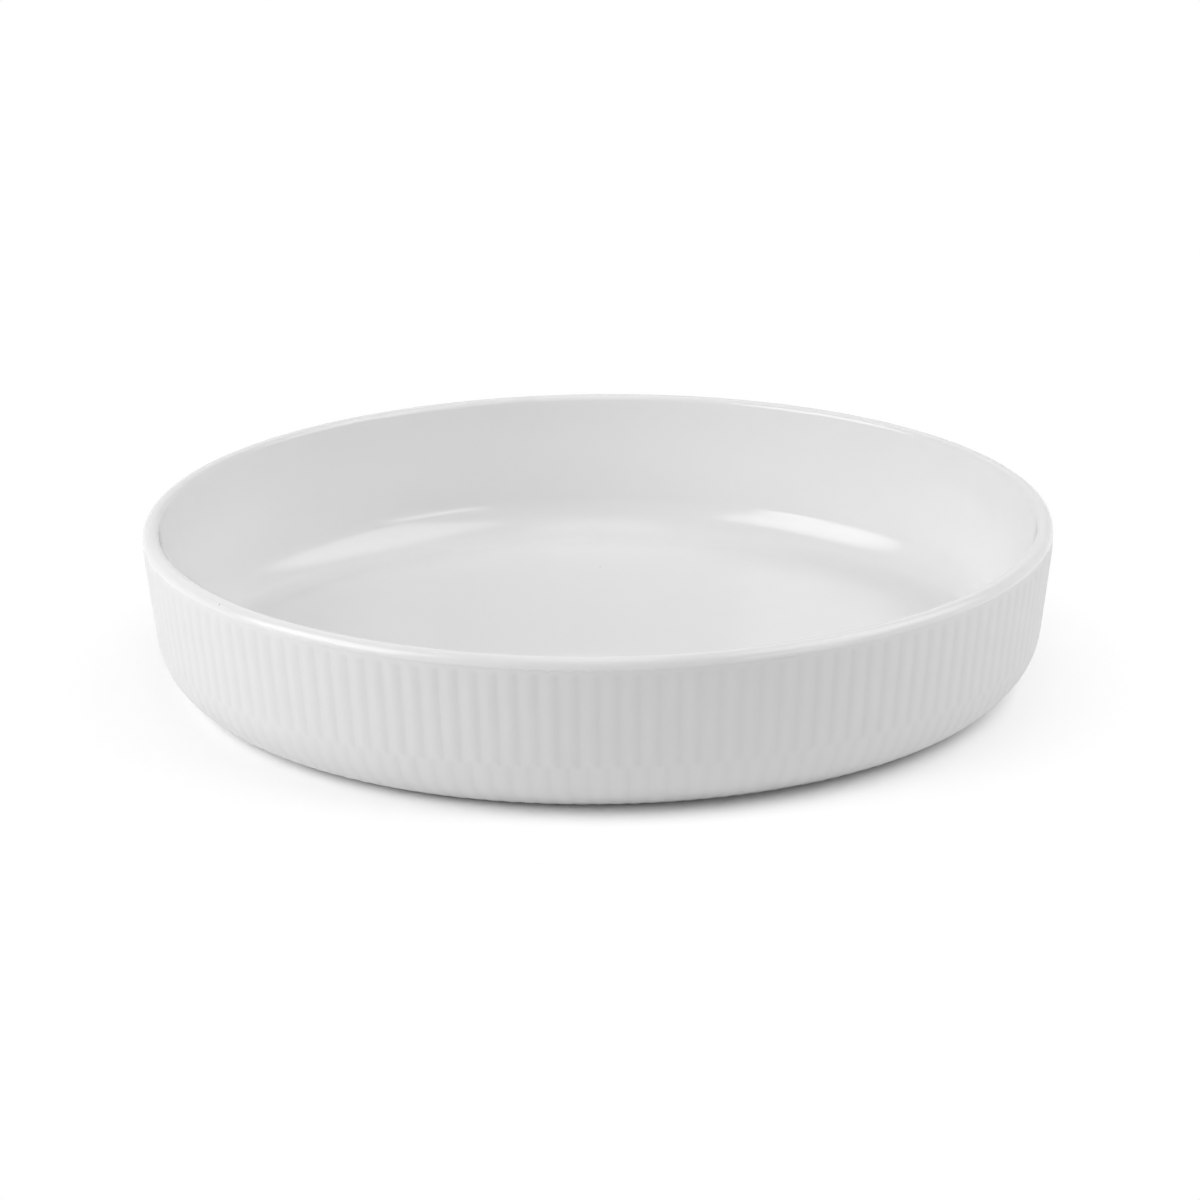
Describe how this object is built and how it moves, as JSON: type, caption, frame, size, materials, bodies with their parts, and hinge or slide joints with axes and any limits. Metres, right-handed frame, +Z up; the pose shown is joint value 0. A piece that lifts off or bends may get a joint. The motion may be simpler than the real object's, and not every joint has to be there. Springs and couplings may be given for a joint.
{
  "type": "baking dish",
  "caption": "Round shallow porcelain baking dish with finely fluted upright sides, a plain glazed rim and a smooth glossy inside, for baking and serving.",
  "frame": {"origin": "centre of the face that the dish rests on, on the dish's axis", "axes": "+Z up along the dish's axis, -Y towards the viewer of the picture"},
  "size_m": [0.28, 0.28, 0.051],
  "materials": {
    "bare_porcelain": "white fired porcelain, polished to a soft satin",
    "gloss_glaze": "clear gloss glaze over white porcelain"
  },
  "bodies": {
    "root": {"porcelain_body": "bare_porcelain", "inside_glaze": "gloss_glaze", "underside_glaze": "gloss_glaze"}
  },
  "joints": []
}
